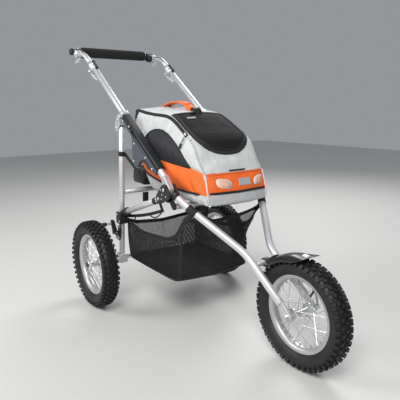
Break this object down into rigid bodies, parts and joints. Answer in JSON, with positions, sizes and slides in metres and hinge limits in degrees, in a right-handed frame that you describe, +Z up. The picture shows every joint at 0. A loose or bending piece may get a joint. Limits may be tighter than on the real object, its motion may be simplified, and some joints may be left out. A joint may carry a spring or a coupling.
{
  "type": "pet stroller",
  "caption": "Folding jogger-style pet stroller: alloy tube frame, spoked wheels with knobbly tyres, soft lift-off carrier with a mesh roof flap, and a mesh basket underneath.",
  "frame": {"origin": "on the floor, under the middle of the whole stroller's box", "axes": "+X forward towards the front wheel, +Y to the stroller's left, +Z up"},
  "size_m": [1.2646, 0.626, 0.9476],
  "materials": {
    "alloy": "satin bright alloy tube and castings",
    "chrome": "polished plated steel",
    "black_plastic": "moulded nylon, fine texture",
    "grey_plastic": "moulded grey panel, slight sheen",
    "gloss_black": "glossy moulded mudguard",
    "foam": "closed-cell foam grip",
    "tyre_rubber": "knobbly tyre rubber",
    "bag_cloth": "light grey coated nylon",
    "mesh_cloth": "black open mesh",
    "orange_cloth": "bright orange nylon"
  },
  "bodies": {
    "front_frame": {"lower_tube_left": "alloy", "lower_tube_right": "alloy", "hub_connector_left": "black_plastic", "hub_connector_right": "black_plastic", "fork_cross_bar": "alloy", "front_axle": "chrome", "front_fender": "gloss_black", "fender_clamp": "black_plastic", "cradle_bar": "alloy", "basket": "mesh_cloth"},
    "front_wheel": {"front_tyre": "tyre_rubber", "front_rim_and_hub": "chrome"},
    "front_lever": {"front_quick_release": "chrome"},
    "handle_frame": {"handle_tube_left": "alloy", "handle_tube_right": "alloy", "carrier_rail_left": "black_plastic", "carrier_rail_right": "black_plastic", "side_plate_left": "grey_plastic", "side_plate_right": "grey_plastic", "hook_bracket_left": "alloy", "hook_bracket_right": "alloy", "height_clamp_left": "black_plastic", "height_clamp_right": "black_plastic"},
    "handle_extension": {"inner_tube_left": "alloy", "inner_tube_right": "alloy", "elbow_left": "alloy", "elbow_right": "alloy"},
    "handlebar": {"handlebar_head_left": "black_plastic", "handlebar_head_right": "black_plastic", "handlebar_core": "black_plastic", "foam_grip": "foam"},
    "rear_frame": {"rear_post_left": "alloy", "rear_post_right": "alloy", "foot_block_left": "alloy", "foot_block_right": "alloy", "side_tube_left": "alloy", "side_tube_right": "alloy", "lower_clamp_left": "black_plastic", "lower_clamp_right": "black_plastic", "brake_bracket_left": "black_plastic", "brake_bracket_right": "black_plastic", "rear_axle": "chrome", "rear_brace": "alloy"},
    "carrier": {"bag_shell": "bag_cloth", "inner_pad": "orange_cloth", "carry_strap": "orange_cloth", "rear_pouch": "mesh_cloth"},
    "flap": {"mesh_flap": "mesh_cloth"},
    "zip_tab": {"zip_pull": "chrome"},
    "left_clamp_lever": {"height_lever_left": "alloy"},
    "left_trigger": {"tilt_trigger_left": "alloy"},
    "left_brake_arm": {"brake_arm_left": "black_plastic"},
    "left_rear_wheel": {"rear_tyre_left": "tyre_rubber", "rear_rim_and_hub_left": "chrome"},
    "right_clamp_lever": {"height_lever_right": "alloy"},
    "right_trigger": {"tilt_trigger_right": "alloy"},
    "right_brake_arm": {"brake_arm_right": "black_plastic"},
    "right_rear_wheel": {"rear_tyre_right": "tyre_rubber", "rear_rim_and_hub_right": "chrome"}
  },
  "joints": [
    {"name": "handle_fold", "type": "hinge", "parent": "front_frame", "child": "handle_frame", "pos_m": [0.0865, 0, 0.459], "axis": [0, 1, 0], "range_deg": [0, 108]},
    {"name": "rear_leg_fold", "type": "hinge", "parent": "front_frame", "child": "rear_frame", "pos_m": [0.0545, 0, 0.428], "axis": [0, 1, 0], "range_deg": [-64, 0], "deforming": ["basket"]},
    {"name": "handle_height", "type": "slide", "parent": "handle_frame", "child": "handle_extension", "axis": [-0.8077, 0, 0.5896], "range_m": [0, 0.1]},
    {"name": "handlebar_tilt", "type": "hinge", "parent": "handle_extension", "child": "handlebar", "pos_m": [-0.5805, 0, 0.916], "axis": [0, 1, 0], "range_deg": [-35, 35]},
    {"name": "carrier_lift", "type": "slide", "parent": "front_frame", "child": "carrier", "axis": [0, 0, 1], "range_m": [0, 0.3]},
    {"name": "flap_open", "type": "hinge", "parent": "carrier", "child": "flap", "pos_m": [-0.0015, 0, 0.6805], "axis": [0, 1, 0], "range_deg": [-150, 0]},
    {"name": "zip_pull_swing", "type": "hinge", "parent": "carrier", "child": "zip_tab", "pos_m": [0.1055, -0.124, 0.62], "axis": [1, 0, 0], "range_deg": [-150, 0]},
    {"name": "front_wheel_spin", "type": "hinge", "parent": "front_frame", "child": "front_wheel", "pos_m": [0.4765, 0, 0.156], "axis": [0, 1, 0], "continuous": true},
    {"name": "quick_release_lever", "type": "hinge", "parent": "front_frame", "child": "front_lever", "pos_m": [0.4765, 0.0692, 0.157], "axis": [1, 0, 0], "range_deg": [-100, 0]},
    {"name": "left_rear_wheel_spin", "type": "hinge", "parent": "rear_frame", "child": "left_rear_wheel", "pos_m": [-0.2445, 0.285, 0.156], "axis": [0, 1, 0], "continuous": true},
    {"name": "left_height_lever", "type": "hinge", "parent": "handle_frame", "child": "left_clamp_lever", "pos_m": [-0.45406, 0.168, 0.84094], "axis": [0, 1, 0], "range_deg": [0, 100]},
    {"name": "left_tilt_trigger", "type": "hinge", "parent": "handle_extension", "child": "left_trigger", "pos_m": [-0.5515, 0.172, 0.893], "axis": [0, 1, 0], "range_deg": [0, 5], "stiffness_Nm_per_rad": 0.2, "springref_deg": -17.19},
    {"name": "left_brake", "type": "hinge", "parent": "rear_frame", "child": "left_brake_arm", "pos_m": [-0.2365, 0.204, 0.262], "axis": [1, 0, 0], "range_deg": [-5, 0], "stiffness_Nm_per_rad": 0.5, "springref_deg": 11.46},
    {"name": "right_rear_wheel_spin", "type": "hinge", "parent": "rear_frame", "child": "right_rear_wheel", "pos_m": [-0.2445, -0.285, 0.156], "axis": [0, 1, 0], "continuous": true},
    {"name": "right_height_lever", "type": "hinge", "parent": "handle_frame", "child": "right_clamp_lever", "pos_m": [-0.45406, -0.168, 0.84094], "axis": [0, 1, 0], "range_deg": [0, 100]},
    {"name": "right_tilt_trigger", "type": "hinge", "parent": "handle_extension", "child": "right_trigger", "pos_m": [-0.5515, -0.172, 0.893], "axis": [0, 1, 0], "range_deg": [0, 5], "stiffness_Nm_per_rad": 0.2, "springref_deg": -17.19},
    {"name": "right_brake", "type": "hinge", "parent": "rear_frame", "child": "right_brake_arm", "pos_m": [-0.2365, -0.204, 0.262], "axis": [1, 0, 0], "range_deg": [0, 5], "stiffness_Nm_per_rad": 0.5, "springref_deg": -11.46}
  ],
  "couplings": [
    {"joint": "rear_leg_fold", "follows": "handle_fold", "ratio": -0.59}
  ]
}
